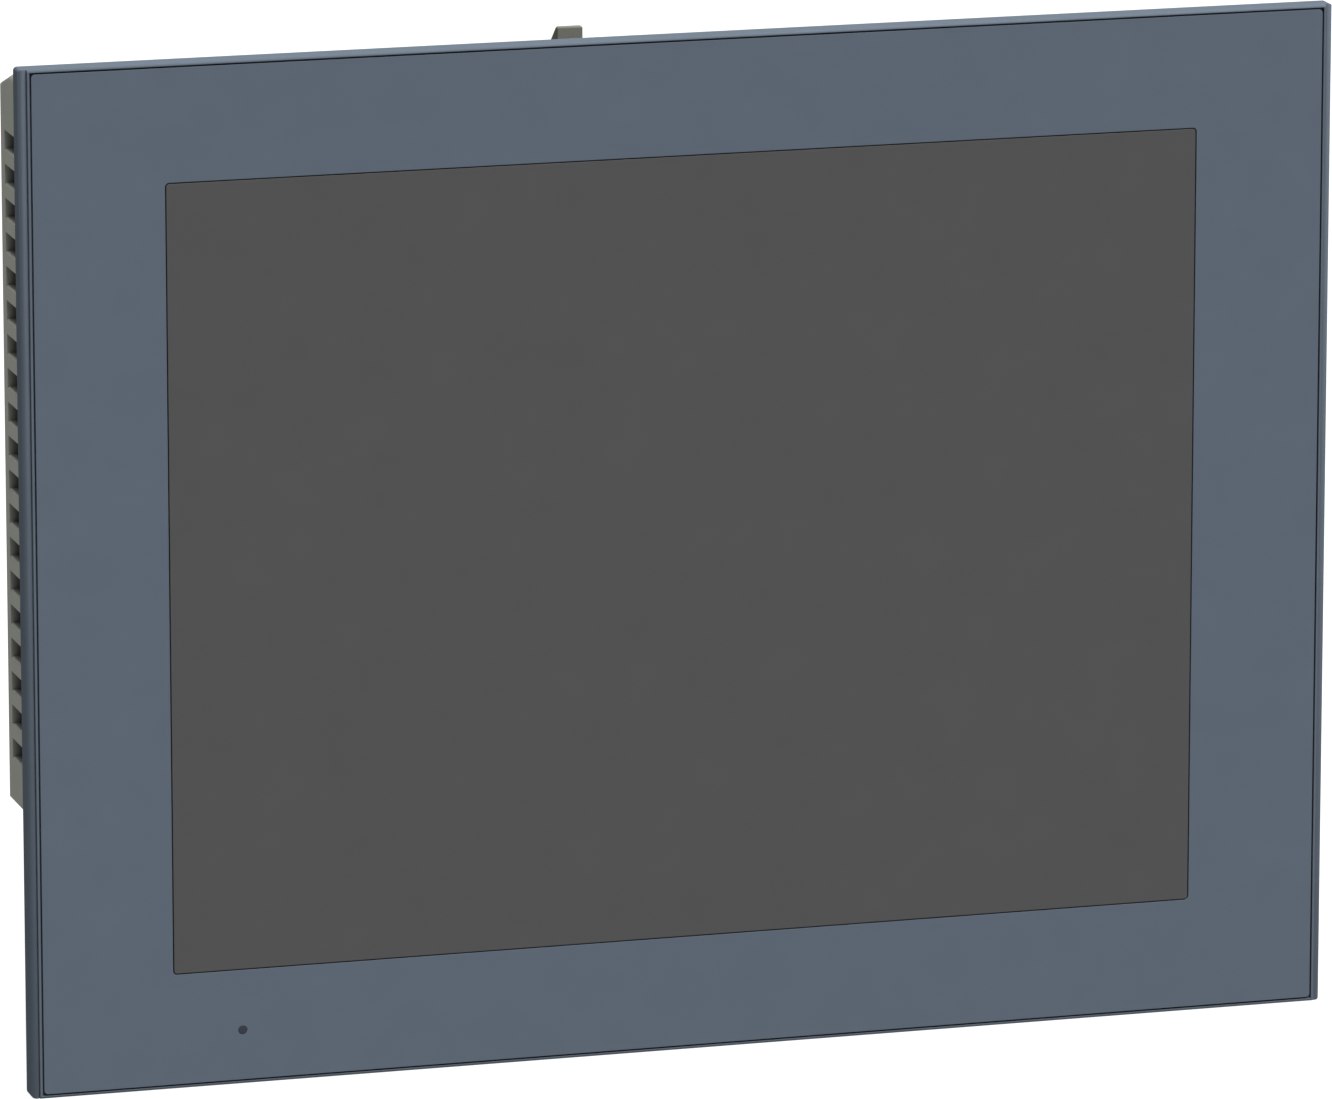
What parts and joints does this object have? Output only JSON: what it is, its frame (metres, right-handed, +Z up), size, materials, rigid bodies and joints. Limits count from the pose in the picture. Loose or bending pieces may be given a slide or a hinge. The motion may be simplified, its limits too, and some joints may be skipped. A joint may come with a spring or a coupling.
{
  "type": "hmi touch panel",
  "caption": "Panel-mounted touch operator terminal with a wide flat bezel, a large display, a vented rear housing, connectors on a downward ledge, a card door and a spring hook.",
  "frame": {"origin": "centre of the bezel's rear face, the plane where the control panel's front surface seats", "axes": "+X to the right as the operator sees it, +Y into the cabinet, +Z up"},
  "size_m": [0.315, 0.056, 0.241],
  "materials": {
    "bezel_plastic": "fine moulded texture, dark blue-grey",
    "overlay_film": "satin printed film, blue-grey",
    "touch_screen": "anti-glare hard coat over an unlit display",
    "touch_glass": "clear float glass",
    "housing_plastic": "fine spark texture, warm grey",
    "gasket_rubber": "smooth black elastomer",
    "foam": "closed-cell foam",
    "light_lens": "smoked lens",
    "circuit_board": "green solder mask",
    "chip_plastic": "black moulding compound",
    "black_plastic": "black moulded plastic",
    "green_plastic": "green moulded plastic",
    "red_plastic": "red moulded plastic",
    "white_plastic": "white moulded plastic",
    "clear_guide": "optical acrylic",
    "lcd_glass": "dark polariser",
    "flex_film": "amber polyimide film",
    "plated_steel": "zinc-plated steel",
    "nickel_shell": "nickel-plated sheet",
    "heat_sink_aluminium": "extruded, clear anodised",
    "gold_contacts": "gold-plated contacts",
    "brass_standoff": "turned brass",
    "label_film": "blank silver polyester label"
  },
  "bodies": {
    "unit": {"front_bezel": "bezel_plastic", "front_overlay": "overlay_film", "touch_film": "touch_screen", "touch_glass": "touch_glass", "touch_tail": "flex_film", "status_light": "light_lens", "status_board": "circuit_board", "panel_gasket": "gasket_rubber", "display_gasket": "foam", "lcd_frame": "plated_steel", "lcd_cell": "lcd_glass", "light_guide": "clear_guide", "backlight_strip": "white_plastic", "lcd_tray": "white_plastic", "lcd_cable": "white_plastic", "display_pads": "foam", "chassis_plate": "plated_steel", "chassis_screws": "plated_steel", "board_standoffs": "brass_standoff", "main_board": "circuit_board", "board_screws": "plated_steel", "processor": "chip_plastic", "heat_sink": "heat_sink_aluminium", "memory_chips": "chip_plastic", "interface_chips": "chip_plastic", "power_coil": "chip_plastic", "capacitors": "heat_sink_aluminium", "backup_battery": "nickel_shell", "buzzer": "black_plastic", "rear_housing": "housing_plastic", "housing_screws": "plated_steel", "rating_plate": "label_film", "power_header": "green_plastic", "power_pins": "nickel_shell", "serial_shell": "nickel_shell", "serial_insert": "black_plastic", "serial_pins": "gold_contacts", "jack_screws": "nickel_shell", "serial_jack": "nickel_shell", "ethernet_jack_1": "nickel_shell", "ethernet_jack_2": "nickel_shell", "jack_contacts": "gold_contacts", "usb_port_1": "nickel_shell", "usb_port_2": "nickel_shell", "usb_inserts": "black_plastic", "usb_mini_port": "nickel_shell", "card_socket": "nickel_shell", "switch_block": "red_plastic"},
    "hook": {"anti_drop_hook": "housing_plastic"},
    "door": {"card_door": "housing_plastic"},
    "plug": {"power_plug": "green_plastic", "plug_screws": "nickel_shell", "terminal_screws": "nickel_shell"},
    "switch_1": {"switch_lever_1": "white_plastic"},
    "switch_2": {"switch_lever_2": "white_plastic"},
    "switch_3": {"switch_lever_3": "white_plastic"},
    "switch_4": {"switch_lever_4": "white_plastic"}
  },
  "joints": [
    {"name": "hook_flex", "type": "hinge", "parent": "unit", "child": "hook", "pos_m": [-0.0208, 0.042, 0.1045], "axis": [1, 0, 0], "range_deg": [0, 16], "stiffness_Nm_per_rad": 1.3},
    {"name": "door_hinge", "type": "hinge", "parent": "unit", "child": "door", "pos_m": [0.112, 0.0285, -0.0606], "axis": [-1, 0, 0], "range_deg": [0, 90]},
    {"name": "plug_pull", "type": "slide", "parent": "unit", "child": "plug", "axis": [0, 0, -1], "range_m": [0, 0.014]},
    {"name": "switch_slide_1", "type": "slide", "parent": "unit", "child": "switch_1", "axis": [0, 1, 0], "range_m": [0, 0.0019]},
    {"name": "switch_slide_2", "type": "slide", "parent": "unit", "child": "switch_2", "axis": [0, 1, 0], "range_m": [0, 0.0019]},
    {"name": "switch_slide_3", "type": "slide", "parent": "unit", "child": "switch_3", "axis": [0, 1, 0], "range_m": [0, 0.0019]},
    {"name": "switch_slide_4", "type": "slide", "parent": "unit", "child": "switch_4", "axis": [0, 1, 0], "range_m": [0, 0.0019]}
  ]
}
